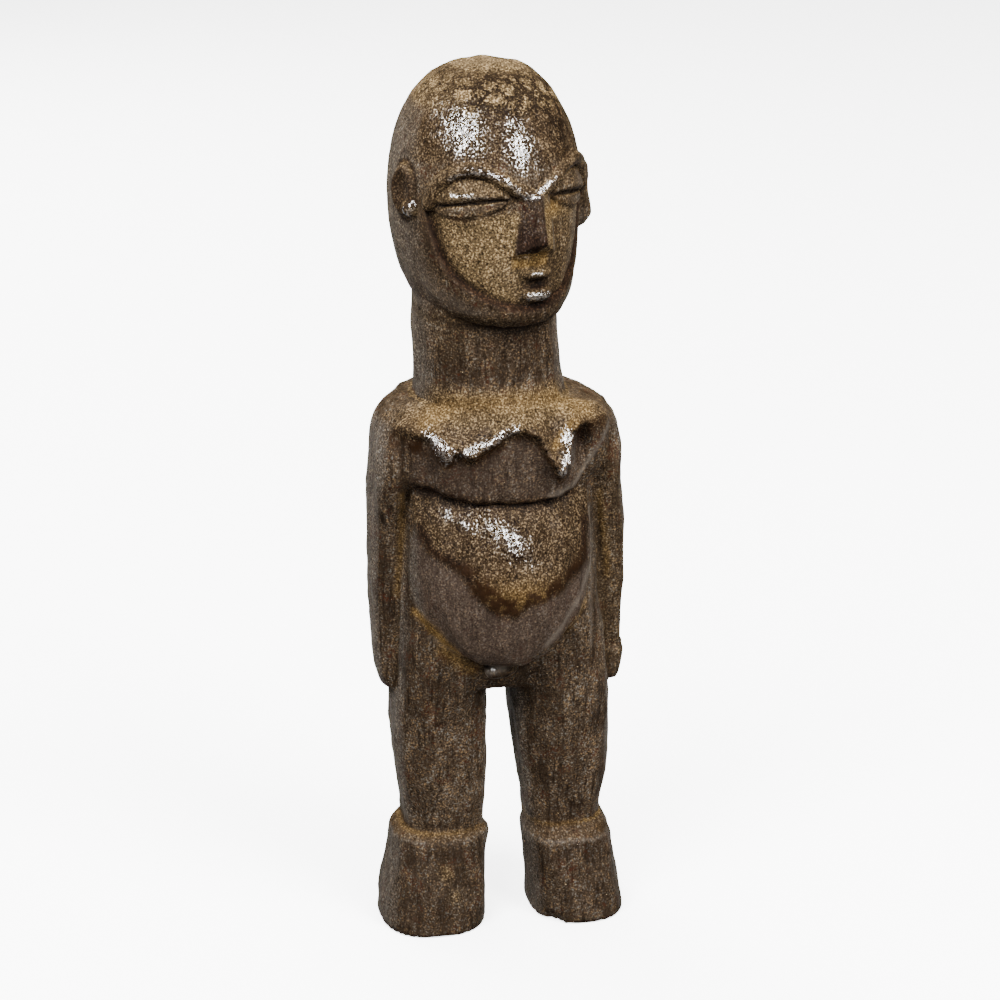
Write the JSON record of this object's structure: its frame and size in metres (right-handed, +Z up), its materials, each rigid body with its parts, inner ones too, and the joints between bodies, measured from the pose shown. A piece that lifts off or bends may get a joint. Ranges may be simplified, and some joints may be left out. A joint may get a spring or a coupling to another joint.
{
  "type": "lobi bateba figure",
  "caption": "Standing carved wooden shrine figure with a long column neck, turned head, shelf-like chest, full belly, arms held flat to its sides and block feet.",
  "frame": {"origin": "middle of the bounding box, on the plane of the soles", "axes": "+Z up along the figure, -Y to its front, +X to its own left"},
  "size_m": [0.0706, 0.0572, 0.24],
  "materials": {
    "wood": "dark, half-gloss patina with a pebbled crust on the chest and belly"
  },
  "bodies": {
    "root": {"figure": "wood"}
  },
  "joints": []
}
